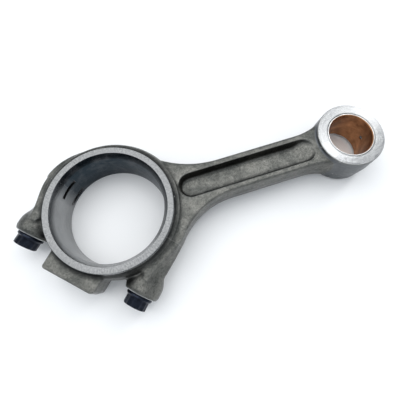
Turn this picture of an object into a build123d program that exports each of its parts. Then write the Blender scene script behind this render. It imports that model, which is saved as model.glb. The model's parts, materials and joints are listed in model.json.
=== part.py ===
from build123d import *

import math
import os

# A connecting rod with an oblique, 45 degree big-end joint.
# The origin is on the big-end bore axis at mid-width. +X runs to the small end and +Z along
# the bores. Two more directions lie in the XY plane: s runs along the joint face towards the
# lower lug, and v runs across it, from the cap (v < 0) into the rod (v > 0).

# Driving dimensions, in millimetres and degrees.
CENTRES = 203.0
DRAFT = 5.0

BORE_R = 41.35
RING_R = 48.8
BIG_END_WIDTH = 37.5
FRONT_CHAMFER_R = 44.0
FRONT_CHAMFER_DEPTH = 4.6
BACK_CHAMFER = 1.2
RING_EDGE_CHAMFER = 0.4

COLLAR_R = 55.0
COLLAR_TOP = 14.8
COLLAR_KNEE = 11.2
COLLAR_LIP = 2.2
COLLAR_OVERLAP = 8.0
CAP_BACK_R = 51.0

SHANK_HALF_WIDTH = 15.5
SHANK_HALF_THICKNESS = 12.2
FACE_EDGE_STEPS = ((0.9, 30.0), (0.4, 62.0))
BIG_FLARE_R = 76.0
FLARE_ROOT_R = 53.0
LUG_FLARE_R = 62.0
SMALL_FLARE_R = 55.0

POCKET_START = 54.9
POCKET_END = 171.5
POCKET_HALF_WIDTH = 9.9
POCKET_FLOOR = 3.5
POCKET_DRAFT = 10.0
POCKET_RAMP_LENGTH = 15.0
POCKET_FILLET = 2.6

BOLT_S = 49.3
BOLT_Z = -2.0
LUG_S = 61.0
LUG_HALF_THICKNESS = 12.4
BOSS_R = 13.8
BOSS_ROOT_R = 9.6
BOSS_ROOT_V = -24.0
BOSS_END_V = -44.8
SEAT_V = -44.3
SEAT_R = 11.2
BORE_ROOTS = ((27.0, 21.0), (27.0, -17.0))
EYE_ROOT = (6.0, 14.0)
SHANK_LUG_S = 60.4
LUG_START_V = -8.0
SHOULDER_POINTS = ((-57.5, -10.0), (-59.7, 0.0), (-54.1, 20.7), (-43.5, 33.8))
SHOULDER_EDGE_R = 2.6

PAD_HALF_WIDTH = 22.6
PAD_V = -60.2
PAD_HALF_THICKNESS = 12.7
PAD_CORNER_R = 2.5
PAD_ROOT_R = 4.5
PAD_EDGE_R = 0.9

CAP_HOLE_R = 6.25
THREAD_HOLE_R = 6.05
THREAD_HOLE_DEPTH = 17.0
DRILL_POINT = 2.8
JOINT_COUNTERSINK = 0.7

BOLT_THREAD_R = 6.0
BOLT_WAIST_R = 5.2
BOLT_TIP_V = 15.5
BOLT_THREAD_V = -9.0
BOLT_PILOT_V = -13.0
BOLT_NECK_V = -40.0
FLANGE_R = 10.2
FLANGE_RIM = 2.6
FLANGE_HEIGHT = 3.8
HEAD_R = 9.0
HEAD_HEIGHT = 6.5
HEAD_CHAMFER = 0.9
HEAD_DISH_R = 4.6
HEAD_DISH_DEPTH = 0.6

SMALL_END_R = 27.6
SMALL_END_MID_R = 28.5
SMALL_END_WIDTH = 31.6
SMALL_EDGE_CHAMFER = 0.5
BUSH_R = 19.5
PIN_R = 17.9
BUSH_MOUTH_CHAMFER = 0.5
BUSH_EDGE_CHAMFER = 0.6
OIL_HOLE_R = 1.6
OIL_FUNNEL_R = 3.2
OIL_FUNNEL_DEPTH = 3.0
DIMPLE_R = 1.7
DIMPLE_DEPTH = 1.0
DIMPLE_ANGLE = -78.0
DIMPLE_Z = -5.4

TANG_CUTTER_R = 15.0
TANG_DEPTH = 1.8
TANG_ANGLE = 136.0
TANG_SLOTS = ((2.8, 7.0), (-15.3, -11.2))

# Planes of the joint: one in plan (local x = s, local y = v), one on the joint face itself
# (local z = v), and the mirror plane that holds the bore axis and the v direction.
JOINT_PLAN = Plane(origin=(0, 0, 0), x_dir=(1, -1, 0), z_dir=(0, 0, 1))
JOINT_FACE = Plane(origin=(0, 0, 0), x_dir=(1, -1, 0), z_dir=(1, 1, 0))
CAP_MIRROR = Plane(origin=(0, 0, 0), z_dir=(1, -1, 0))


def bolt_plane(side, v):
    """The plane across one bolt's axis at v. side is 1 for the lower lug and -1 for the upper."""
    centre = JOINT_PLAN.from_local_coords((side * BOLT_S, v, BOLT_Z))
    return Plane(origin=centre, x_dir=(0, 0, 1), z_dir=(1, 1, 0))


def bolt_section(side):
    """The plane through one bolt's axis: local x is the radius and local y runs along v."""
    centre = JOINT_PLAN.from_local_coords((side * BOLT_S, 0, BOLT_Z))
    return Plane(origin=centre, x_dir=(0, 0, 1), z_dir=(-1, 1, 0))


def radial_plane(centre_x, angle, radius, z):
    """A plane that touches a cylinder about (centre_x, 0), with its normal pointing outward."""
    out_x = math.cos(math.radians(angle))
    out_y = math.sin(math.radians(angle))
    return Plane(
        origin=(centre_x + radius * out_x, radius * out_y, z),
        x_dir=(0, 0, 1),
        z_dir=(out_x, out_y, 0),
    )


os.makedirs("parts", exist_ok=True)

# The I-section shank with its flares to both ends, before the pockets.
upper_flare_x = math.sqrt(
    (FLARE_ROOT_R + BIG_FLARE_R) ** 2 - (SHANK_HALF_WIDTH + BIG_FLARE_R) ** 2
)
upper_flare_y = SHANK_HALF_WIDTH + BIG_FLARE_R
collar_share = FLARE_ROOT_R / (FLARE_ROOT_R + BIG_FLARE_R)
small_flare_run = math.sqrt(
    (SMALL_END_R + SMALL_FLARE_R) ** 2 - (SHANK_HALF_WIDTH + SMALL_FLARE_R) ** 2
)
small_flare_x = CENTRES - small_flare_run
small_share = SMALL_END_R / (SMALL_END_R + SMALL_FLARE_R)
small_touch_x = CENTRES - small_share * small_flare_run
small_touch_y = small_share * (SHANK_HALF_WIDTH + SMALL_FLARE_R)
lug_corner_x = SHANK_LUG_S * math.sqrt(2) - SHANK_HALF_WIDTH
lug_tangent = LUG_FLARE_R * math.tan(math.radians(22.5))
lug_touch = (
    lug_corner_x - lug_tangent / math.sqrt(2),
    -SHANK_HALF_WIDTH - lug_tangent / math.sqrt(2),
)
lug_start_point = JOINT_PLAN.from_local_coords((SHANK_LUG_S, LUG_START_V, 0))
lug_start = (lug_start_point.X, lug_start_point.Y)

with BuildPart() as shank:
    with BuildSketch(Plane.XY):
        with BuildLine():
            Polyline(
                (small_touch_x, -small_touch_y),
                (CENTRES - EYE_ROOT[0], -EYE_ROOT[1]),
                (CENTRES - EYE_ROOT[0], EYE_ROOT[1]),
                (small_touch_x, small_touch_y),
            )
            RadiusArc(
                (small_touch_x, small_touch_y), (small_flare_x, SHANK_HALF_WIDTH), SMALL_FLARE_R
            )
            Line((small_flare_x, SHANK_HALF_WIDTH), (upper_flare_x, SHANK_HALF_WIDTH))
            RadiusArc(
                (upper_flare_x, SHANK_HALF_WIDTH),
                (collar_share * upper_flare_x, collar_share * upper_flare_y),
                BIG_FLARE_R,
            )
            Polyline(
                (collar_share * upper_flare_x, collar_share * upper_flare_y),
                *BORE_ROOTS,
                lug_start,
                lug_touch,
            )
            RadiusArc(lug_touch, (lug_corner_x + lug_tangent, -SHANK_HALF_WIDTH), LUG_FLARE_R)
            Line(
                (lug_corner_x + lug_tangent, -SHANK_HALF_WIDTH),
                (small_flare_x, -SHANK_HALF_WIDTH),
            )
            RadiusArc(
                (small_flare_x, -SHANK_HALF_WIDTH), (small_touch_x, -small_touch_y), SMALL_FLARE_R
            )
        make_face()
    extrude(amount=SHANK_HALF_THICKNESS - sum(rise for rise, slope in FACE_EDGE_STEPS), taper=DRAFT)
    for rise, slope in FACE_EDGE_STEPS:
        extrude(shank.faces().sort_by(Axis.Z)[-1], amount=rise, taper=slope)
    mirror(about=Plane.XY)


def collar_profile(section, outer):
    """A raised collar's section: flat lips, rounded shoulders, sides drafted to mid-height."""
    side_foot = outer + COLLAR_KNEE * math.tan(math.radians(DRAFT))
    with BuildSketch(section) as profile:
        with BuildLine():
            Polyline(
                (BORE_R - COLLAR_OVERLAP, -COLLAR_TOP),
                (outer - COLLAR_LIP, -COLLAR_TOP),
                (outer, -COLLAR_KNEE),
                (side_foot, 0),
                (outer, COLLAR_KNEE),
                (outer - COLLAR_LIP, COLLAR_TOP),
                (BORE_R - COLLAR_OVERLAP, COLLAR_TOP),
                close=True,
            )
        make_face()
        shoulders = profile.vertices().filter_by(
            lambda vertex: abs(section.to_local_coords(vertex.center()).X - outer + COLLAR_LIP) < 0.01
        )
        fillet(shoulders, COLLAR_LIP / 2)
    return profile.sketch


# The collar that backs the thrust ring. On the rod side it is round about the bore. On the cap
# side it is an eccentric circle that starts flush at the joint and thins towards the cap's crown.
# Each is revolved from a section in the half that its forging does not keep.
with BuildPart() as rod_collar:
    add(collar_profile(Plane(origin=(0, 0, 0), x_dir=(-1, -1, 0), z_dir=(-1, 1, 0)), COLLAR_R))
    revolve(axis=Axis.Z)

cap_back_shift = (COLLAR_R**2 - CAP_BACK_R**2) / (2 * CAP_BACK_R)
cap_back_outer = CAP_BACK_R + cap_back_shift
cap_back_centre = JOINT_PLAN.from_local_coords((0, cap_back_shift, 0))
cap_back_section = Plane(origin=cap_back_centre, x_dir=(1, 1, 0), z_dir=(1, -1, 0))

with BuildPart() as cap_collar:
    add(collar_profile(cap_back_section, cap_back_outer))
    revolve(axis=Axis(cap_back_centre, (0, 0, 1)))

# The pad on the cap's crown, with filleted roots where it runs into the collar.
with BuildPart() as cap_pad:
    with BuildSketch(JOINT_PLAN) as pad_plan:
        with Locations((0, cap_back_shift)):
            Circle(cap_back_outer)
        with Locations((0, PAD_V / 2)):
            Rectangle(2 * PAD_HALF_WIDTH, -PAD_V)
        corners = pad_plan.vertices().group_by(Axis((0, 0, 0), (1, 1, 0)))
        fillet(corners[0], PAD_CORNER_R)
        roots = pad_plan.vertices().filter_by(
            lambda vertex: abs(JOINT_PLAN.to_local_coords(vertex.center()).X) > PAD_HALF_WIDTH - 1
            and JOINT_PLAN.to_local_coords(vertex.center()).Y < -PAD_HALF_WIDTH
            and JOINT_PLAN.to_local_coords(vertex.center()).Y > PAD_V + 2 * PAD_CORNER_R
        )
        fillet(roots, PAD_ROOT_R)
    extrude(amount=PAD_HALF_THICKNESS, taper=DRAFT / 2)
    fillet(cap_pad.faces().sort_by(Axis.Z)[-1].edges(), PAD_EDGE_R)
    mirror(about=Plane.XY)


def lug_section(side, v, inner_s, wall_s, crest_s, corner_radius):
    """One cross-section of a lug: widest at the parting plane, its outer corners rounded."""
    with BuildSketch(JOINT_FACE.offset(v)) as section:
        with BuildLine():
            Polyline(
                (side * inner_s, -LUG_HALF_THICKNESS),
                (side * crest_s, -LUG_HALF_THICKNESS),
                (side * wall_s, 0),
                (side * crest_s, LUG_HALF_THICKNESS),
                (side * inner_s, LUG_HALF_THICKNESS),
                close=True,
            )
        make_face()
        outward = Axis((0, 0, 0), (side, -side, 0))
        crests = section.vertices().sort_by(outward)[2:4]
        fillet(crests, corner_radius)
    return section.sketch


# The two lugs, from root to boss. Their flanks slope more from the shank side to the boss.
with BuildPart() as lower_lug:
    add(lug_section(1, 14.5, 40.0, LUG_S - 1.6, 58.0, 2.4))
    add(lug_section(1, -3.0, 40.0, LUG_S, 58.8, 3.2))
    add(lug_section(1, -22.0, 42.0, LUG_S, 53.2, 4.0))
    add(lug_section(1, -34.0, 46.0, LUG_S, 51.5, 4.0))
    loft()

with BuildPart() as upper_lug:
    add(lug_section(-1, 7.0, 40.0, LUG_S - 3.4, 55.8, 2.4))
    add(lug_section(-1, -3.0, 40.0, LUG_S - 1.4, 57.8, 3.2))
    add(lug_section(-1, -22.0, 42.0, LUG_S - 0.8, 53.2, 4.0))
    add(lug_section(-1, -34.0, 46.0, LUG_S - 0.4, 51.5, 4.0))
    loft()

# The bolt bosses, bodies of revolution about the bolts that swell out of the lug walls.
with BuildPart() as bosses:
    with BuildSketch(bolt_section(1)):
        with BuildLine():
            Line((0, BOSS_END_V), (BOSS_R - 1.2, BOSS_END_V))
            Line((BOSS_R - 1.2, BOSS_END_V), (BOSS_R, BOSS_END_V + 3.0))
            Line((BOSS_R, BOSS_END_V + 3.0), (BOSS_R, -37.5))
            Spline(
                (BOSS_R, -37.5),
                (BOSS_ROOT_R, BOSS_ROOT_V),
                tangents=((0, 1), (-0.2, 1)),
            )
            Line((BOSS_ROOT_R, BOSS_ROOT_V), (0, BOSS_ROOT_V))
            Line((0, BOSS_ROOT_V), (0, BOSS_END_V))
        make_face()
    revolve(axis=Axis(bolt_plane(1, 0).origin, (1, 1, 0)))
    mirror(about=CAP_MIRROR)

# The shoulder that carries the upper lug's wall back into the collar.
with BuildPart() as shoulder:
    with BuildSketch(JOINT_PLAN):
        with BuildLine():
            Spline(*SHOULDER_POINTS)
            Polyline(SHOULDER_POINTS[-1], (-36.0, 26.0), (-36.0, -12.0), SHOULDER_POINTS[0])
        make_face()
    extrude(amount=LUG_HALF_THICKNESS, taper=DRAFT)
    shoulder_crests = shoulder.faces().sort_by(Axis.Z)[-1].edges().filter_by(
        lambda edge: edge.geom_type != GeomType.LINE
    )
    fillet(shoulder_crests, SHOULDER_EDGE_R)
    mirror(about=Plane.XY)

# The small-end eye, a boss drafted to the parting plane, with its rims just broken.
with BuildPart() as eye:
    with BuildSketch(Plane.XZ.offset(0)):
        Polygon(
            (CENTRES, -SMALL_END_WIDTH / 2),
            (CENTRES + SMALL_END_R - SMALL_EDGE_CHAMFER, -SMALL_END_WIDTH / 2),
            (CENTRES + SMALL_END_R, -SMALL_END_WIDTH / 2 + SMALL_EDGE_CHAMFER),
            (CENTRES + SMALL_END_MID_R, 0),
            (CENTRES + SMALL_END_R, SMALL_END_WIDTH / 2 - SMALL_EDGE_CHAMFER),
            (CENTRES + SMALL_END_R - SMALL_EDGE_CHAMFER, SMALL_END_WIDTH / 2),
            (CENTRES, SMALL_END_WIDTH / 2),
            align=None,
        )
    revolve(axis=Axis((CENTRES, 0, 0), (0, 0, 1)))

# The thrust ring, faced on both sides.
with BuildPart() as ring:
    Cylinder(RING_R, BIG_END_WIDTH)
    chamfer(ring.edges().filter_by(GeomType.CIRCLE), RING_EDGE_CHAMFER)

# The rod's forging and the cap's, each parted at the joint.
with BuildPart() as rod_forging:
    add(shank.part)
    add(rod_collar.part)
    add(lower_lug.part)
    add(upper_lug.part)
    add(shoulder.part)
    add(eye.part)
    add(ring.part)
    split(bisect_by=JOINT_FACE, keep=Keep.TOP)

with BuildPart() as cap_forging:
    add(cap_pad.part)
    add(cap_collar.part)
    add(lower_lug.part)
    add(upper_lug.part)
    add(bosses.part)
    add(ring.part)
    split(bisect_by=JOINT_FACE, keep=Keep.BOTTOM)


def pocket_cutter():
    """The tool that leaves one pocket: drafted walls, round ends, and a ramp at the small end."""
    mid_x = (POCKET_START + POCKET_END) / 2
    depth = SHANK_HALF_THICKNESS - POCKET_FLOOR
    with BuildPart() as cutter:
        with BuildSketch(Plane.XY.offset(SHANK_HALF_THICKNESS)):
            with Locations((mid_x, 0)):
                SlotOverall(POCKET_END - POCKET_START, 2 * POCKET_HALF_WIDTH)
        extrude(amount=-depth, taper=POCKET_DRAFT)
        with BuildSketch(Plane.XZ):
            with BuildLine():
                Polyline(
                    (POCKET_START - 1, POCKET_FLOOR),
                    (POCKET_END - POCKET_RAMP_LENGTH, POCKET_FLOOR),
                    (POCKET_END + 1, SHANK_HALF_THICKNESS),
                    (POCKET_START - 1, SHANK_HALF_THICKNESS),
                    close=True,
                )
            make_face()
        extrude(amount=2 * POCKET_HALF_WIDTH, both=True, mode=Mode.INTERSECT)
        floor_edges = cutter.faces().sort_by(Axis.Z)[0].edges()
        fillet(floor_edges, POCKET_FILLET)
        with BuildSketch(Plane.XY.offset(SHANK_HALF_THICKNESS)):
            with Locations((mid_x, 0)):
                SlotOverall(POCKET_END - POCKET_START, 2 * POCKET_HALF_WIDTH)
        extrude(amount=COLLAR_TOP - SHANK_HALF_THICKNESS + 1)
    return cutter.part


def big_end_bore_cutter():
    """Everything that boring the big end takes away: the bore and both mouth chamfers."""
    half_width = BIG_END_WIDTH / 2
    with BuildPart() as cutter:
        with BuildSketch(Plane.XZ):
            Polygon(
                (0, -half_width - 1),
                (BORE_R + BACK_CHAMFER, -half_width - 1),
                (BORE_R + BACK_CHAMFER, -half_width),
                (BORE_R, -half_width + BACK_CHAMFER),
                (BORE_R, half_width - FRONT_CHAMFER_DEPTH),
                (FRONT_CHAMFER_R, half_width),
                (FRONT_CHAMFER_R, half_width + 1),
                (0, half_width + 1),
                align=None,
            )
        revolve(axis=Axis.Z)
    return cutter.part


def bush_seat_cutter():
    """The bore for the bush, with its two mouth chamfers."""
    half_width = SMALL_END_WIDTH / 2
    with BuildPart() as cutter:
        with Locations((CENTRES, 0)):
            Cylinder(BUSH_R, SMALL_END_WIDTH + 2)
        for face_z, end in ((half_width, Align.MAX), (-half_width, Align.MIN)):
            rim_r = BUSH_R + BUSH_MOUTH_CHAMFER
            with Locations((CENTRES, 0, face_z)):
                if end == Align.MAX:
                    Cone(BUSH_R, rim_r, BUSH_MOUTH_CHAMFER, align=(Align.CENTER, Align.CENTER, end))
                else:
                    Cone(rim_r, BUSH_R, BUSH_MOUTH_CHAMFER, align=(Align.CENTER, Align.CENTER, end))
    return cutter.part


def tang_cutter():
    """The disc cutter's two passes for the shell tangs, straddling the joint in the bore wall."""
    with BuildPart() as cutter:
        reach = BORE_R + TANG_DEPTH - TANG_CUTTER_R
        centre_x = reach * math.cos(math.radians(TANG_ANGLE))
        centre_y = reach * math.sin(math.radians(TANG_ANGLE))
        for low, high in TANG_SLOTS:
            with BuildSketch(Plane.XY.offset(low)):
                with Locations((centre_x, centre_y)):
                    Circle(TANG_CUTTER_R)
            extrude(amount=high - low)
    return cutter.part


with BuildPart() as rod_body:
    add(rod_forging.part)
    add(big_end_bore_cutter(), mode=Mode.SUBTRACT)
    add(tang_cutter(), mode=Mode.SUBTRACT)
    pocket = pocket_cutter()
    add(pocket, mode=Mode.SUBTRACT)
    add(pocket.mirror(Plane.XY), mode=Mode.SUBTRACT)
    add(bush_seat_cutter(), mode=Mode.SUBTRACT)
    for side in (-1, 1):
        with Locations(bolt_plane(side, 0)):
            Cylinder(
                THREAD_HOLE_R,
                THREAD_HOLE_DEPTH,
                align=(Align.CENTER, Align.CENTER, Align.MIN),
                mode=Mode.SUBTRACT,
            )
            Cone(
                THREAD_HOLE_R + JOINT_COUNTERSINK,
                THREAD_HOLE_R,
                JOINT_COUNTERSINK,
                align=(Align.CENTER, Align.CENTER, Align.MIN),
                mode=Mode.SUBTRACT,
            )
        with Locations(bolt_plane(side, THREAD_HOLE_DEPTH)):
            Cone(
                THREAD_HOLE_R,
                0.2,
                DRILL_POINT,
                align=(Align.CENTER, Align.CENTER, Align.MIN),
                mode=Mode.SUBTRACT,
            )
    with BuildSketch(radial_plane(CENTRES, 0, SMALL_END_MID_R + 1, 0)):
        Circle(OIL_HOLE_R)
    extrude(amount=-(SMALL_END_MID_R + 1 - PIN_R), mode=Mode.SUBTRACT)
    with Locations(radial_plane(CENTRES, 0, SMALL_END_MID_R, 0)):
        Cone(
            OIL_HOLE_R,
            OIL_FUNNEL_R,
            OIL_FUNNEL_DEPTH,
            align=(Align.CENTER, Align.CENTER, Align.MAX),
            mode=Mode.SUBTRACT,
        )
    with Locations(radial_plane(CENTRES, DIMPLE_ANGLE, SMALL_END_MID_R, DIMPLE_Z)):
        Cone(
            0.2,
            DIMPLE_R,
            DIMPLE_DEPTH,
            align=(Align.CENTER, Align.CENTER, Align.MAX),
            mode=Mode.SUBTRACT,
        )
rod_body.part.label = "rod_body"
export_step(rod_body.part, "parts/rod_body.step")

with BuildPart() as bearing_cap:
    add(cap_forging.part)
    add(big_end_bore_cutter(), mode=Mode.SUBTRACT)
    add(tang_cutter(), mode=Mode.SUBTRACT)
    for side in (-1, 1):
        with Locations(bolt_plane(side, 0)):
            Cylinder(
                CAP_HOLE_R,
                -BOSS_END_V,
                align=(Align.CENTER, Align.CENTER, Align.MAX),
                mode=Mode.SUBTRACT,
            )
        with Locations(bolt_plane(side, SEAT_V)):
            Cylinder(
                SEAT_R,
                3.0,
                align=(Align.CENTER, Align.CENTER, Align.MAX),
                mode=Mode.SUBTRACT,
            )
bearing_cap.part.label = "bearing_cap"
export_step(bearing_cap.part, "parts/bearing_cap.step")

# The small-end bush, flush with both faces of the eye.
with BuildPart() as small_end_bush:
    with BuildSketch(Plane.XY.offset(-SMALL_END_WIDTH / 2)):
        with Locations((CENTRES, 0)):
            Circle(BUSH_R)
            Circle(PIN_R, mode=Mode.SUBTRACT)
    extrude(amount=SMALL_END_WIDTH)
    bush_rims = small_end_bush.edges().filter_by(GeomType.CIRCLE)
    chamfer(bush_rims, BUSH_EDGE_CHAMFER)
    with BuildSketch(radial_plane(CENTRES, 0, BUSH_R + 1, 0)):
        Circle(OIL_HOLE_R)
    extrude(amount=-(BUSH_R + 1 - PIN_R + 2), mode=Mode.SUBTRACT)
small_end_bush.part.label = "small_end_bush"
export_step(small_end_bush.part, "parts/small_end_bush.step")


def cap_bolt(side):
    """A twelve-point flange bolt, drawn where it sits, with its axis along v."""
    flange_top = SEAT_V - FLANGE_HEIGHT
    head_top = flange_top - HEAD_HEIGHT
    with BuildPart() as bolt:
        with BuildSketch(bolt_section(side)):
            Polygon(
                (0, BOLT_TIP_V),
                (BOLT_THREAD_R - 1.2, BOLT_TIP_V),
                (BOLT_THREAD_R, BOLT_TIP_V - 1.2),
                (BOLT_THREAD_R, BOLT_THREAD_V),
                (BOLT_WAIST_R, BOLT_THREAD_V - 1.0),
                (BOLT_WAIST_R, BOLT_PILOT_V + 1.0),
                (BOLT_THREAD_R, BOLT_PILOT_V),
                (BOLT_THREAD_R, BOLT_PILOT_V - 8.0),
                (BOLT_WAIST_R, BOLT_PILOT_V - 9.0),
                (BOLT_WAIST_R, BOLT_NECK_V),
                (BOLT_THREAD_R, SEAT_V),
                (FLANGE_R, SEAT_V),
                (FLANGE_R, SEAT_V - FLANGE_RIM),
                (HEAD_R, flange_top),
                (0, flange_top),
                align=None,
            )
        revolve(axis=Axis(bolt_plane(side, 0).origin, (1, 1, 0)))
        with BuildSketch(bolt_plane(side, flange_top)):
            RegularPolygon(HEAD_R, 6)
            RegularPolygon(HEAD_R, 6, rotation=30)
        extrude(amount=-HEAD_HEIGHT)
        with BuildSketch(bolt_section(side)):
            Polygon(
                (0, BOLT_TIP_V),
                (2 * HEAD_R, BOLT_TIP_V),
                (2 * HEAD_R, head_top + HEAD_CHAMFER + HEAD_R / 2),
                (HEAD_R - HEAD_CHAMFER, head_top),
                (HEAD_DISH_R, head_top),
                (HEAD_DISH_R - HEAD_DISH_DEPTH, head_top + HEAD_DISH_DEPTH),
                (0, head_top + HEAD_DISH_DEPTH),
                align=None,
            )
        revolve(axis=Axis(bolt_plane(side, 0).origin, (1, 1, 0)), mode=Mode.INTERSECT)
    return bolt.part


for bolt_name, bolt_side in (("upper_cap_bolt", -1), ("lower_cap_bolt", 1)):
    bolt_part = cap_bolt(bolt_side)
    bolt_part.label = bolt_name
    export_step(bolt_part, f"parts/{bolt_name}.step")
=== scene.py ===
import json
import math

import bmesh
import bpy
import numpy as np
from mathutils import Matrix, Vector, noise


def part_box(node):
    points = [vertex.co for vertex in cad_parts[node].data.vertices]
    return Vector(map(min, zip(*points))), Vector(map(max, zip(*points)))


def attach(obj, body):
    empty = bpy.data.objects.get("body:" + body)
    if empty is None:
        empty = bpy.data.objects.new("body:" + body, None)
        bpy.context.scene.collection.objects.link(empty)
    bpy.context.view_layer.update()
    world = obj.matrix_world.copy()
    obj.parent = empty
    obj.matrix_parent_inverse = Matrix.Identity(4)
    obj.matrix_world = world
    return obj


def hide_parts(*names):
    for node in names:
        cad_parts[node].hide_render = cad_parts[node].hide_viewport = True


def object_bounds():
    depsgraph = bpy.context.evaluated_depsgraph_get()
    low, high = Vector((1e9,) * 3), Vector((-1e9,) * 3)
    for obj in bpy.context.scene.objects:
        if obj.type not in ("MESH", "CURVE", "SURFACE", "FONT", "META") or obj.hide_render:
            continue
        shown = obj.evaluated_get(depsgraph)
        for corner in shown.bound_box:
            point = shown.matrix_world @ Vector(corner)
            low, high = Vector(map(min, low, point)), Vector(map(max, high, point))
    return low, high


# A forged connecting rod with an oblique bolted cap, lying on a pale floor with its deep-chamfered
# face up. Everything is in metres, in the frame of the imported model: the origin is on the big-end
# bore axis at mid-width, +X runs to the small end and +Z along the bores.
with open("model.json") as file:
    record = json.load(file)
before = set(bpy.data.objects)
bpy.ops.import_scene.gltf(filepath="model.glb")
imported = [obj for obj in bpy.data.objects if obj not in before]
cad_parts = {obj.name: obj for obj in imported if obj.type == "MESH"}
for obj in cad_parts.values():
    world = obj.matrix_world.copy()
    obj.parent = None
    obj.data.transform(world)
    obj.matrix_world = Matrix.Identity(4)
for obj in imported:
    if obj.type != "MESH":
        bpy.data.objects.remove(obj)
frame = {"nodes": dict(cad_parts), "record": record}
cad_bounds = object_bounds()
nodes = frame["nodes"]
mounts = {mount["name"]: mount for mount in frame["record"]["mounts"]}

MM = 0.001
BIG_BORE_R = mounts["big_end_bore"]["dims"]["r_mm"]
SMALL_END_X = mounts["small_end_bore"]["pos_m"][0] / MM
BIG_FACE_Z = mounts["thrust_face_front"]["pos_m"][2] / MM
SMALL_FACE_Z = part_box("small_end_bush")[1].z / MM
FLOOR_Z = cad_bounds[0].z

# Camera
CAMERA_AT = (0.044325, -0.074749, 0.230562)
CAMERA_RIGHT = (0.94972, -0.31281, 0.01334)
CAMERA_UP = (0.29635, 0.91185, 0.28409)
CAMERA_FORWARD = (0.10103, 0.26585, -0.95871)
LENS_MM = 26.46
SENSOR_MM = 36.0

camera_data = bpy.data.cameras.new("camera")
camera_data.lens = LENS_MM
camera_data.sensor_width = SENSOR_MM
camera_data.clip_start = 0.005
camera_data.clip_end = 50
camera = bpy.data.objects.new("camera", camera_data)
bpy.context.scene.collection.objects.link(camera)
camera.matrix_world = Matrix(
    (
        (CAMERA_RIGHT[0], CAMERA_UP[0], -CAMERA_FORWARD[0], CAMERA_AT[0]),
        (CAMERA_RIGHT[1], CAMERA_UP[1], -CAMERA_FORWARD[1], CAMERA_AT[1]),
        (CAMERA_RIGHT[2], CAMERA_UP[2], -CAMERA_FORWARD[2], CAMERA_AT[2]),
        (0, 0, 0, 1),
    )
)
bpy.context.scene.camera = camera


class Graph:
    """A short way to write a material's nodes. Sockets and plain numbers can be mixed freely."""

    def __init__(self, name):
        self.material = bpy.data.materials.new(name)
        self.material.use_nodes = True
        self.tree = self.material.node_tree
        self.shader = self.tree.nodes["Principled BSDF"]

    def node(self, kind, inputs=None, **settings):
        made = self.tree.nodes.new(kind)
        for key, value in settings.items():
            setattr(made, key, value)
        for key, value in (inputs or {}).items():
            self.feed(made.inputs[key], value)
        return made

    def feed(self, socket, value):
        if isinstance(value, bpy.types.NodeSocket):
            self.tree.links.new(value, socket)
        else:
            socket.default_value = value

    def math(self, operation, *values):
        made = self.node("ShaderNodeMath", operation=operation)
        for socket, value in zip(made.inputs, values):
            self.feed(socket, value)
        return made.outputs[0]

    def above(self, value, edge, soft=0.15):
        """1 where value is above edge, 0 below, with a soft step."""
        limits = {"Value": value, "From Min": edge - soft, "From Max": edge + soft}
        return self.node("ShaderNodeMapRange", limits).outputs[0]

    def below(self, value, edge, soft=0.15):
        return self.math("SUBTRACT", 1.0, self.above(value, edge, soft))

    def both(self, *masks):
        result = masks[0]
        for mask in masks[1:]:
            result = self.math("MULTIPLY", result, mask)
        return result

    def either(self, *masks):
        result = masks[0]
        for mask in masks[1:]:
            result = self.math("MAXIMUM", result, mask)
        return result

    def blend(self, share, first, second):
        made = self.node("ShaderNodeMix", {0: share}, data_type="FLOAT")
        self.feed(made.inputs[2], first)
        self.feed(made.inputs[3], second)
        return made.outputs[0]

    def tint(self, share, first, second, mode="MIX"):
        made = self.node("ShaderNodeMix", {0: share}, data_type="RGBA", blend_type=mode)
        self.feed(made.inputs[6], first)
        self.feed(made.inputs[7], second)
        return made.outputs[2]

    def ramp(self, value, *stops):
        """A colour ramp from (position, grey or colour) stops."""
        made = self.node("ShaderNodeValToRGB", {0: value})
        elements = made.color_ramp.elements
        for index, (position, colour) in enumerate(stops):
            element = elements[index] if index < 2 else elements.new(position)
            element.position = position
            element.color = colour if isinstance(colour, tuple) else (colour, colour, colour, 1)
        return made.outputs[0]

    def noise(self, vector, scale, detail=3.0, roughness=0.55, distortion=0.0):
        inputs = {
            "Vector": vector,
            "Scale": scale,
            "Detail": detail,
            "Roughness": roughness,
            "Distortion": distortion,
        }
        return self.node("ShaderNodeTexNoise", inputs).outputs[0]

    def bump(self, height, distance):
        made = self.node("ShaderNodeBump", {"Height": height, "Distance": distance, "Strength": 1.0})
        return made.outputs[0]

    def place(self):
        """The point on the piece, in millimetres of the shared frame: vector, x, y, z."""
        point = self.node("ShaderNodeTexCoord").outputs["Object"]
        scaled = self.node("ShaderNodeVectorMath", {0: point, "Scale": 1 / MM}, operation="SCALE").outputs[0]
        split = self.node("ShaderNodeSeparateXYZ", {0: scaled}).outputs
        return scaled, split[0], split[1], split[2]

    def radius(self, x, y, centre_x=0.0):
        across = self.math("SUBTRACT", x, centre_x)
        squares = self.math("MULTIPLY", across, across), self.math("MULTIPLY", y, y)
        return self.math("SQRT", self.math("ADD", *squares))

    def combine(self, x, y, z):
        return self.node("ShaderNodeCombineXYZ", {0: x, 1: y, 2: z}).outputs[0]


def grey(value):
    return (value, value, value, 1.0)


# The joint's own directions: OUT runs from the rod into the cap, and ALONG runs down the joint.
OUT = Vector((-1, -1, 0)).normalized()
ALONG = Vector((1, -1, 0)).normalized()
BOLT_S = 49.3
BOLT_Z = -2.0
SEAT_V = 44.3
RING_R = 48.8
EYE_R = 27.6
BUSH_R = 19.5
SMALL_EYE_Z = 15.8

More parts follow.
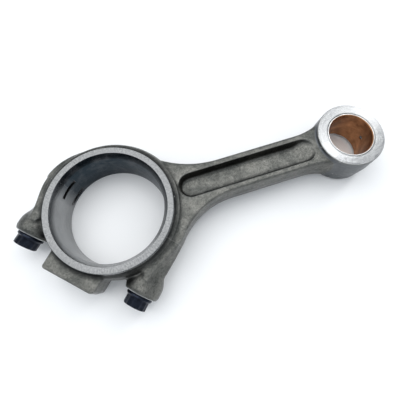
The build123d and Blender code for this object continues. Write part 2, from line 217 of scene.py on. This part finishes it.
# What the cutters leave, in millimetres: edge breaks, chamfers, and how far each tool reaches.
EDGE_BREAK = 0.4
EYE_EDGE = 0.5
BACK_CHAMFER = 1.2
CHAMFER_R = 44.0
CHAMFER_DEPTH = 4.6
RING_INNER_R = 40.5
EYE_INNER_R = 19.0
OVERSHOOT = 1
PLUG_R = 6.4
PLUG_START = -19.5
CLEAR_HOLE_R = 6.25
SEAT_CUTTER_R = 11.2
SEAT_CUTTER_REACH = 4.0


def put(name, mesh):
    made = bpy.data.objects.new(name, mesh)
    bpy.context.scene.collection.objects.link(made)
    return made


def turned(name, profile, at=(0, 0, 0), axis=(0, 0, 1), segments=160, closed=True):
    """A body of revolution from (radius, height) points in millimetres, about an axis through at."""
    mesh = bpy.data.meshes.new(name)
    bm = bmesh.new()
    turn = Vector((0, 0, 1)).rotation_difference(Vector(axis)).to_matrix().to_4x4()
    frame_matrix = Matrix.Translation(Vector(at) * MM) @ turn
    rings = []
    for radius, height in profile:
        count = segments if radius > 0 else 1
        rings.append(
            [
                bm.verts.new(
                    frame_matrix
                    @ Vector(
                        (
                            radius * MM * math.cos(math.tau * k / segments),
                            radius * MM * math.sin(math.tau * k / segments),
                            height * MM,
                        )
                    )
                )
                for k in range(count)
            ]
        )
    pairs = list(zip(rings, rings[1:]))
    if closed:
        pairs.append((rings[-1], rings[0]))
    for low, high in pairs:
        for k in range(segments):
            after = k + 1
            corners = [low[k % len(low)], low[after % len(low)], high[after % len(high)], high[k % len(high)]]
            unique = list(dict.fromkeys(corners))
            if len(unique) > 2:
                bm.faces.new(unique)
    bmesh.ops.recalc_face_normals(bm, faces=bm.faces)
    bm.to_mesh(mesh)
    bm.free()
    return put(name, mesh)


def settle(piece):
    """Applies a piece's modifiers."""
    graph = bpy.context.evaluated_depsgraph_get()
    made = bpy.data.meshes.new_from_object(piece.evaluated_get(graph))
    piece.modifiers.clear()
    old = piece.data
    piece.data = made
    bpy.data.meshes.remove(old)


def combine(piece, tool, operation, keep_tool=False):
    modifier = piece.modifiers.new("combine", "BOOLEAN")
    modifier.operation = operation
    modifier.solver = "MANIFOLD"
    modifier.object = tool
    settle(piece)
    if not keep_tool:
        bpy.data.objects.remove(tool)


def copy_of(node, name):
    mesh = nodes[node].data.copy()
    mesh.materials.clear()
    bm = bmesh.new()
    bm.from_mesh(mesh)
    bmesh.ops.remove_doubles(bm, verts=bm.verts, dist=1e-6)
    bm.to_mesh(mesh)
    bm.free()
    return put(name, mesh)


def arrays(mesh):
    places = np.empty(len(mesh.vertices) * 3)
    mesh.vertices.foreach_get("co", places)
    ends = np.empty(len(mesh.edges) * 2, dtype=np.int64)
    mesh.edges.foreach_get("vertices", ends)
    return places.reshape(-1, 3), ends.reshape(-1, 2)


def soften(mesh, fill_rounds, round_rounds):
    """Fills the hollows of a dense mesh into fillets, then eases its crests a little."""
    places, ends = arrays(mesh)
    first, second = ends[:, 0], ends[:, 1]
    degree = np.bincount(ends.ravel(), minlength=len(places)).astype(float)
    normals = np.empty(len(places) * 3)

    def pull():
        total = np.empty_like(places)
        for axis in range(3):
            column = places[:, axis]
            total[:, axis] = np.bincount(first, column[second], len(places))
            total[:, axis] += np.bincount(second, column[first], len(places))
        return total / degree[:, None] - places

    for turn in range(fill_rounds):
        if turn % 8 == 0:
            mesh.vertices.foreach_set("co", places.ravel())
            mesh.update()
            mesh.vertices.foreach_get("normal", normals)
            outward = normals.reshape(-1, 3)
        step = pull()
        rise = np.einsum("ij,ij->i", step, outward)
        places += outward * np.maximum(rise, 0)[:, None] * 0.6 + (step - outward * rise[:, None]) * 0.3
    for turn in range(round_rounds):
        places += pull() * 0.5
    mesh.vertices.foreach_set("co", places.ravel())
    mesh.update()


def ripple(mesh, depth, scale):
    """Moves a dense mesh in and out by up to depth, as a die's worn surface does."""
    places = arrays(mesh)[0]
    normals = np.empty(len(places) * 3)
    mesh.vertices.foreach_get("normal", normals)
    shifts = [noise.fractal(Vector(place), 0.6, 2.1, 3) for place in places * scale]
    places += normals.reshape(-1, 3) * (np.array(shifts) * depth)[:, None]
    mesh.vertices.foreach_set("co", places.ravel())
    mesh.update()


SKIN_VOXEL = 0.5 * MM
skin = copy_of("rod_body", "skin")
combine(skin, copy_of("bearing_cap", "cap_copy"), "UNION")
for side in (-1, 1):
    centre = ALONG * (side * BOLT_S) + Vector((0, 0, BOLT_Z))
    plug_profile = ((0, PLUG_START), (PLUG_R, PLUG_START), (PLUG_R, SEAT_V - 0.2), (0, SEAT_V - 0.2))
    combine(skin, turned("plug", plug_profile, centre, OUT, 48, closed=False), "UNION")
remesh = skin.modifiers.new("remesh", "REMESH")
remesh.mode = "VOXEL"
remesh.voxel_size = SKIN_VOXEL
settle(skin)
soften(skin.data, 60, 3)
ripple(skin.data, 0.06 * MM, 160.0)

# The machined ring, the small-end faces and both bores come back with sharp edges.
face_z = BIG_FACE_Z
ring_profile = (
    (RING_INNER_R, -face_z),
    (RING_R - EDGE_BREAK, -face_z),
    (RING_R, -face_z + EDGE_BREAK),
    (RING_R, face_z - EDGE_BREAK),
    (RING_R - EDGE_BREAK, face_z),
    (RING_INNER_R, face_z),
)
combine(skin, turned("ring_tool", ring_profile, segments=256), "UNION")
bore_profile = (
    (0, -face_z - OVERSHOOT),
    (BIG_BORE_R + BACK_CHAMFER, -face_z - OVERSHOOT),
    (BIG_BORE_R + BACK_CHAMFER, -face_z),
    (BIG_BORE_R, -face_z + BACK_CHAMFER),
    (BIG_BORE_R, face_z - CHAMFER_DEPTH),
    (CHAMFER_R, face_z),
    (CHAMFER_R, face_z + OVERSHOOT),
    (0, face_z + OVERSHOOT),
)
combine(skin, turned("bore_tool", bore_profile, segments=256, closed=False), "DIFFERENCE")
eye_profile = (
    (EYE_INNER_R, -SMALL_EYE_Z),
    (EYE_R - EYE_EDGE, -SMALL_EYE_Z),
    (EYE_R, -SMALL_EYE_Z + EYE_EDGE),
    (EYE_R, SMALL_EYE_Z - EYE_EDGE),
    (EYE_R - EYE_EDGE, SMALL_EYE_Z),
    (EYE_INNER_R, SMALL_EYE_Z),
)
combine(skin, turned("eye_tool", eye_profile, (SMALL_END_X, 0, 0), segments=192), "UNION")
eye_bore_profile = (
    (0, -SMALL_EYE_Z - OVERSHOOT),
    (BUSH_R + EYE_EDGE, -SMALL_EYE_Z - OVERSHOOT),
    (BUSH_R + EYE_EDGE, -SMALL_EYE_Z),
    (BUSH_R, -SMALL_EYE_Z + EYE_EDGE),
    (BUSH_R, SMALL_EYE_Z - EYE_EDGE),
    (BUSH_R + EYE_EDGE, SMALL_EYE_Z),
    (BUSH_R + EYE_EDGE, SMALL_EYE_Z + OVERSHOOT),
    (0, SMALL_EYE_Z + OVERSHOOT),
)
eye_bore_tool = turned("eye_bore_tool", eye_bore_profile, (SMALL_END_X, 0, 0), segments=192, closed=False)
combine(skin, eye_bore_tool, "DIFFERENCE")


# Tang slots, each cut by a disc between two heights, and the bolts' holes and seats.
TANG_SLOTS = ((2.8, 7.0), (-15.3, -11.2))
TANG_CUTTER_R = 15.0
TANG_DEPTH = 1.8
TANG_ANGLE = math.radians(136)
tang_reach = BIG_BORE_R + TANG_DEPTH - TANG_CUTTER_R
tang_at = (tang_reach * math.cos(TANG_ANGLE), tang_reach * math.sin(TANG_ANGLE), 0)
for low, high in TANG_SLOTS:
    slot_profile = ((0, low), (TANG_CUTTER_R, low), (TANG_CUTTER_R, high), (0, high))
    combine(skin, turned("slot_tool", slot_profile, tang_at, closed=False), "DIFFERENCE")
THREAD_R = 6.05
THREAD_DEPTH = 17.0
THREAD_PITCH = 1.75
THREAD_CUT = 0.55
HOLE_TURNS = 9
# The bolt's thread runs between these heights, and its ridges fall in the hole's grooves.
BOLT_THREAD = (-16.0, 8.1)
BOLT_TURNS = 14
BOLT_ROOT_R = 5.3
GROOVE_TOOL_R = 7.0
thread_profile = [(0, -THREAD_DEPTH - 2.8), (THREAD_R - THREAD_CUT, -THREAD_DEPTH)]
for turn in range(HOLE_TURNS):
    height = -THREAD_DEPTH + 0.6 + turn * THREAD_PITCH
    thread_profile.append((THREAD_R, height))
    thread_profile.append((THREAD_R - THREAD_CUT, height + THREAD_PITCH / 2))
thread_profile += [(THREAD_R, -0.7), (THREAD_R + 0.7, 0.0), (CLEAR_HOLE_R, 0.0), (CLEAR_HOLE_R, SEAT_V + 0.1)]
thread_profile += [(SEAT_CUTTER_R, SEAT_V), (SEAT_CUTTER_R, SEAT_V + SEAT_CUTTER_REACH)]
thread_profile += [(0, SEAT_V + SEAT_CUTTER_REACH)]
for side in (-1, 1):
    centre = ALONG * (side * BOLT_S) + Vector((0, 0, BOLT_Z))
    combine(skin, turned("bolt_hole_tool", thread_profile, centre, OUT, 96, closed=False), "DIFFERENCE")


def parting_tool():
    """A block over the cap's side whose face, at the joint, is as coarse as a fracture."""
    bm = bmesh.new()
    columns, rows = 150, 50
    half_length, half_height, reach = 75.0, 25.0, 90.0
    grid = []
    for i in range(columns + 1):
        along = -half_length + 2 * half_length * i / columns
        line = []
        for j in range(rows + 1):
            up = -half_height + 2 * half_height * j / rows
            rough = 0.16 * noise.fractal(Vector((along * 0.35, up * 0.35, 7.0)), 0.7, 2.2, 4)
            line.append(bm.verts.new((ALONG * along + OUT * rough + Vector((0, 0, up))) * MM))
        grid.append(line)
    for i in range(columns):
        for j in range(rows):
            bm.faces.new((grid[i][j], grid[i + 1][j], grid[i + 1][j + 1], grid[i][j + 1]))
    rim = [grid[i][0] for i in range(columns + 1)] + [grid[columns][j] for j in range(1, rows + 1)]
    rim += [grid[i][rows] for i in range(columns - 1, -1, -1)] + [grid[0][j] for j in range(rows - 1, 0, -1)]
    far = [bm.verts.new(vertex.co + OUT * (reach * MM)) for vertex in rim]
    for k in range(len(rim)):
        after = (k + 1) % len(rim)
        bm.faces.new((rim[after], rim[k], far[k], far[after]))
    bm.faces.new(far)
    bmesh.ops.recalc_face_normals(bm, faces=bm.faces)
    mesh = bpy.data.meshes.new("parting_tool")
    bm.to_mesh(mesh)
    bm.free()
    return put("parting_tool", mesh)


rod_piece = put("forged_rod", skin.data.copy())
cap_piece = skin
cap_piece.name = "forged_cap"
parting = parting_tool()
combine(rod_piece, parting, "DIFFERENCE", keep_tool=True)
combine(cap_piece, parting, "INTERSECT")


def shade(piece, crease_degrees):
    """Smooth shading with creases where faces meet sharply."""
    piece.data.shade_smooth()
    piece.data.set_sharp_from_angle(angle=math.radians(crease_degrees))


def forged_steel(name, seed):
    """Shot-blasted forging with machined faces, bores and chamfers, told apart by place."""
    g = Graph(name)
    point, x, y, z = g.place()
    height = g.math("ABSOLUTE", z)
    big_r = g.radius(x, y)
    small_r = g.radius(x, y, SMALL_END_X)
    angle = g.math("ARCTAN2", y, x)
    into_cap = g.math("MULTIPLY", g.math("ADD", x, y), -math.sqrt(0.5))
    across_joint = g.math("ABSOLUTE", into_cap)

    # Where the cutters went.
    bore = g.below(big_r, BIG_BORE_R + 0.12, 0.08)
    chamfer = g.both(g.below(big_r, 44.15, 0.1), g.above(z, BIG_FACE_Z - 4.7, 0.05))
    ring = g.both(g.below(big_r, 49.1, 0.1), g.above(height, 14.9, 0.1))
    ring_face = g.both(ring, g.above(height, BIG_FACE_Z - 0.05, 0.03), g.above(big_r, 44.05, 0.05))
    eye_face = g.both(g.below(small_r, 27.3, 0.1), g.above(height, SMALL_FACE_Z - 0.05, 0.03))
    eye_bore = g.below(small_r, 19.7, 0.1)
    joint = g.below(across_joint, 0.03, 0.02)
    seat = g.both(
        g.above(into_cap, 44.0, 0.05),
        g.above(g.math("ABSOLUTE", g.math("MULTIPLY", g.math("SUBTRACT", x, y), math.sqrt(0.5))), 33.0, 0.1),
    )
    cut = g.either(bore, chamfer, ring, eye_face, eye_bore, seat)

    # The forged skin: blasted grain, scale spots, slow patches, and painted shade where faces meet and round
    # the ring.
    shifted = g.node("ShaderNodeVectorMath", {0: point, 1: (seed, -seed, seed)}, operation="ADD").outputs[0]
    patches = g.noise(shifted, 0.07, 4.0, 0.6, 0.6)
    mottle = g.noise(shifted, 0.55, 5.0, 0.65, 0.3)
    grain = g.noise(shifted, 2.4, 4.0, 0.7)
    specks = g.noise(shifted, 1.25, 2.0, 0.5, 0.8)
    base = g.ramp(patches, (0.32, (0.072, 0.075, 0.070, 1)), (0.68, (0.160, 0.158, 0.145, 1)))
    base = g.tint(0.5, base, g.ramp(mottle, (0.32, grey(0.2)), (0.68, grey(0.75))), "OVERLAY")
    base = g.tint(0.6, base, g.ramp(grain, (0.35, grey(0.2)), (0.65, grey(0.85))), "OVERLAY")
    speck_share = g.ramp(specks, (0.30, 0.75), (0.37, 0.0))
    base = g.tint(speck_share, base, (0.018, 0.018, 0.017, 1))
    # Ambient occlusion darkens the colour in recesses and creases: painted shade.
    crevice_shade = g.node("ShaderNodeAmbientOcclusion", {"Distance": 0.009}, samples=6).outputs["AO"]
    base = g.tint(g.ramp(crevice_shade, (0.35, 0.95), (0.88, 0.0)), base, (0.012, 0.013, 0.014, 1))
    # A near-black band round the foot of the thrust ring: a painted shadow.
    ring_valley_shadow = g.both(g.below(big_r, 52.0, 2.0), g.below(height, 16.0, 0.6))
    base = g.tint(g.math("MULTIPLY", ring_valley_shadow, 0.85), base, (0.012, 0.013, 0.014, 1))
    eye_wall = g.both(g.below(small_r, 29.0, 0.2), g.below(height, 15.4, 0.1))
    base = g.tint(g.math("MULTIPLY", eye_wall, 0.7), base, (0.12, 0.128, 0.14, 1))
    # Convex crests are lightened by pointiness: edge wear and a painted highlight.
    crest_wear_highlight = g.ramp(g.node("ShaderNodeNewGeometry").outputs["Pointiness"], (0.51, 0.0), (0.60, 0.85))
    base = g.tint(crest_wear_highlight, base, (0.42, 0.42, 0.40, 1))
    skin_rough = g.ramp(mottle, (0.3, 0.44), (0.7, 0.25))

    # The machined metal: turning or grinding marks run round their own bore.
    turned_big = g.combine(g.math("MULTIPLY", big_r, 9.0), g.math("MULTIPLY", angle, 3.0), 0.0)
    ground = g.combine(g.math("MULTIPLY", big_r, 0.6), g.math("MULTIPLY", angle, 45.0), 0.0)
    turned_small = g.combine(g.math("MULTIPLY", small_r, 7.0), 3.7, 0.0)
    honed = g.combine(g.math("MULTIPLY", z, 7.0), g.math("MULTIPLY", angle, 4.0), 1.3)
    lines = g.blend(ring_face, g.noise(honed, 1.0, 3.0), g.noise(ground, 1.0, 2.0))
    lines = g.blend(eye_face, lines, g.noise(turned_small, 1.0, 3.0))
    lines = g.blend(chamfer, lines, g.noise(turned_big, 1.0, 2.0))
    metal = g.ramp(lines, (0.3, (0.25, 0.255, 0.26, 1)), (0.7, (0.40, 0.405, 0.405, 1)))
    # The rod's side of the bore and chamfer is darkened as painted shade, and the ring and eye faces are
    # dulled.
    rod_side_shade = g.tint(g.above(into_cap, 5.0, 7.0), (0.09, 0.125, 0.155, 1), (1.0, 1.0, 1.0, 1))
    metal = g.tint(g.either(bore, chamfer), metal, rod_side_shade, "MULTIPLY")
    # The rod side of the chamfer is darkened further: painted shade.
    metal = g.tint(g.math("MULTIPLY", chamfer, g.below(into_cap, 6.0, 7.0)), metal, grey(0.45), "MULTIPLY")
    metal = g.tint(ring_face, metal, grey(0.55), "MULTIPLY")
    metal = g.tint(eye_face, metal, grey(0.85), "MULTIPLY")
    stains = g.noise(shifted, 0.12, 3.0, 0.5)
    metal = g.tint(g.ramp(stains, (0.45, 0.0), (0.8, 0.35)), metal, (0.20, 0.20, 0.21, 1))
    metal_rough = g.ramp(lines, (0.3, 0.3), (0.7, 0.2))

    # The parted joint faces are coarse and bright.
    fracture = g.noise(shifted, 1.1, 8.0, 0.75, 0.4)
    broken = g.ramp(fracture, (0.3, grey(0.28)), (0.7, grey(0.62)))

    colour = g.tint(cut, base, metal)
    colour = g.tint(joint, colour, broken)
    rough = g.blend(cut, skin_rough, metal_rough)
    rough = g.blend(joint, rough, 0.45)
    skin_height = g.math("ADD", g.math("MULTIPLY", grain, 0.4), g.math("MULTIPLY", mottle, 0.6))
    relief = g.blend(cut, skin_height, g.math("MULTIPLY", lines, 0.05))
    relief = g.blend(joint, relief, g.math("MULTIPLY", fracture, 1.8))
    at_eye = g.above(x, SMALL_END_X - 45, 5.0)
    centre_x = g.math("MULTIPLY", at_eye, SMALL_END_X)
    across = g.combine(g.math("SUBTRACT", x, centre_x), y, g.math("MULTIPLY", 0.3, big_r))
    tangent = g.node("ShaderNodeVectorMath", {0: across}, operation="NORMALIZE").outputs[0]
    g.feed(g.shader.inputs["Tangent"], tangent)
    g.shader.inputs["Anisotropic"].default_value = 0.6
    g.feed(g.shader.inputs["Base Color"], colour)
    g.feed(g.shader.inputs["Roughness"], rough)
    g.feed(g.shader.inputs["Normal"], g.bump(relief, 0.00035))
    g.shader.inputs["Metallic"].default_value = 1.0
    return g.material


def bronze():
    """Bored bronze inside a steel back that shows as a bright ring at each end."""
    g = Graph("bored_bronze")
    point, x, y, z = g.place()
    small_r = g.radius(x, y, SMALL_END_X)
    angle = g.math("ARCTAN2", y, g.math("SUBTRACT", x, SMALL_END_X))
    lining = g.below(small_r, 18.5, 0.12)
    bored = g.noise(g.combine(g.math("MULTIPLY", z, 5.0), g.math("MULTIPLY", angle, 2.5), 0.0), 1.0, 3.0)
    burnish = g.noise(point, 0.16, 3.0, 0.5)
    bronze_colour = g.ramp(burnish, (0.3, (0.26, 0.125, 0.06, 1)), (0.7, (0.50, 0.25, 0.12, 1)))
    bored_tone = g.ramp(bored, (0.35, grey(0.3)), (0.65, grey(0.7)))
    bronze_colour = g.tint(0.35, bronze_colour, bored_tone, "OVERLAY")
    steel = g.ramp(bored, (0.3, grey(0.45)), (0.7, grey(0.68)))
    g.feed(g.shader.inputs["Base Color"], g.tint(lining, steel, bronze_colour))
    g.feed(g.shader.inputs["Roughness"], g.ramp(bored, (0.3, 0.36), (0.7, 0.26)))
    g.feed(g.shader.inputs["Normal"], g.bump(bored, 0.00002))
    g.shader.inputs["Metallic"].default_value = 1.0
    return g.material


def black_oxide():
    """Black oxide with a blue cast, rubbed to bare steel in small spots."""
    g = Graph("black_oxide")
    point = g.place()[0]
    patches = g.noise(point, 0.35, 4.0, 0.6)
    grain = g.noise(point, 3.0, 3.0, 0.6)
    colour = g.ramp(patches, (0.3, (0.006, 0.009, 0.016, 1)), (0.7, (0.022, 0.028, 0.045, 1)))
    rubbed = g.ramp(g.noise(point, 1.1, 5.0, 0.7), (0.64, 0.0), (0.76, 0.35))
    g.feed(g.shader.inputs["Base Color"], g.tint(rubbed, colour, (0.30, 0.30, 0.32, 1)))
    g.feed(g.shader.inputs["Roughness"], g.ramp(patches, (0.3, 0.42), (0.7, 0.28)))
    g.feed(g.shader.inputs["Normal"], g.bump(grain, 0.00004))
    g.shader.inputs["Metallic"].default_value = 0.85
    return g.material


def dress(piece, material):
    """Gives every slot of a piece this material."""
    if not piece.data.materials:
        piece.data.materials.append(material)
    for piece_slot in piece.material_slots:
        piece_slot.material = material


dress(rod_piece, forged_steel("forged_rod_steel", seed=3.0))
dress(cap_piece, forged_steel("forged_cap_steel", seed=11.0))
for piece, node, body, slot_name in (
    (rod_piece, "rod_body", "rod", "rod_steel"),
    (cap_piece, "bearing_cap", "cap", "cap_steel"),
):
    shade(piece, 32)
    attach(piece, body)
    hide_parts(node)
dress(nodes["small_end_bush"], bronze())
oxide = black_oxide()
for side, node, body in ((-1, "upper_cap_bolt", "upper_bolt"), (1, "lower_cap_bolt", "lower_bolt")):
    bolt = copy_of(node, node.replace("_cap_bolt", "_threaded_bolt"))
    centre = ALONG * (side * BOLT_S) + Vector((0, 0, BOLT_Z))
    groove_profile = [(GROOVE_TOOL_R, BOLT_THREAD[0]), (GROOVE_TOOL_R, BOLT_THREAD[1])]
    for turn in range(BOLT_TURNS):
        height = BOLT_THREAD[1] - turn * THREAD_PITCH
        groove_profile.append((THREAD_R, height))
        groove_profile.append((BOLT_ROOT_R, height - THREAD_PITCH / 2))
    combine(bolt, turned("thread_tool", groove_profile, centre, OUT, 64), "DIFFERENCE")
    shade(bolt, 25)
    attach(bolt, body)
    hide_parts(node)
    dress(bolt, oxide)

# Floor
floor_mesh = bpy.data.meshes.new("floor")
FLOOR_HALF = 6.0
floor_mesh.from_pydata(
    [
        (-FLOOR_HALF, -FLOOR_HALF, FLOOR_Z),
        (FLOOR_HALF, -FLOOR_HALF, FLOOR_Z),
        (FLOOR_HALF, FLOOR_HALF, FLOOR_Z),
        (-FLOOR_HALF, FLOOR_HALF, FLOOR_Z),
    ],
    [],
    [(0, 1, 2, 3)],
)
floor = bpy.data.objects.new("floor", floor_mesh)
bpy.context.scene.collection.objects.link(floor)
paper = Graph("paper")
paper_point = paper.place()[0]
paper_tone = paper.ramp(paper.noise(paper_point, 0.02, 2.0), (0.3, grey(0.93)), (0.7, grey(0.95)))
paper.feed(paper.shader.inputs["Base Color"], paper_tone)
paper.shader.inputs["Roughness"].default_value = 0.9
floor_mesh.materials.append(paper.material)


def area_light(name, at, aim, size, power, size_y):
    """A soft rectangular light at a point, aimed at another."""
    data = bpy.data.lights.new(name, "AREA")
    data.shape = "RECTANGLE"
    data.size = size
    data.size_y = size_y
    data.energy = power
    made = bpy.data.objects.new(name, data)
    bpy.context.scene.collection.objects.link(made)
    direction = Vector(at) - Vector(aim)
    made.rotation_euler = direction.to_track_quat("Z", "Y").to_euler()
    made.location = at


area_light("overhead_left", (-0.20, 0.35, 0.95), (0.0, 0.0, 0.0), 0.95, 4.9, 0.9)
area_light("overhead_right", (0.85, 0.35, 0.90), (0.15, 0.0, 0.0), 0.22, 4.2, 1.5)

world = bpy.data.worlds.new("studio")
world.use_nodes = True
world.node_tree.nodes["Background"].inputs["Color"].default_value = (0.90, 0.95, 1.0, 1)
world.node_tree.nodes["Background"].inputs["Strength"].default_value = 0.8
bpy.context.scene.world = world
bpy.context.scene.view_settings.view_transform = "Standard"
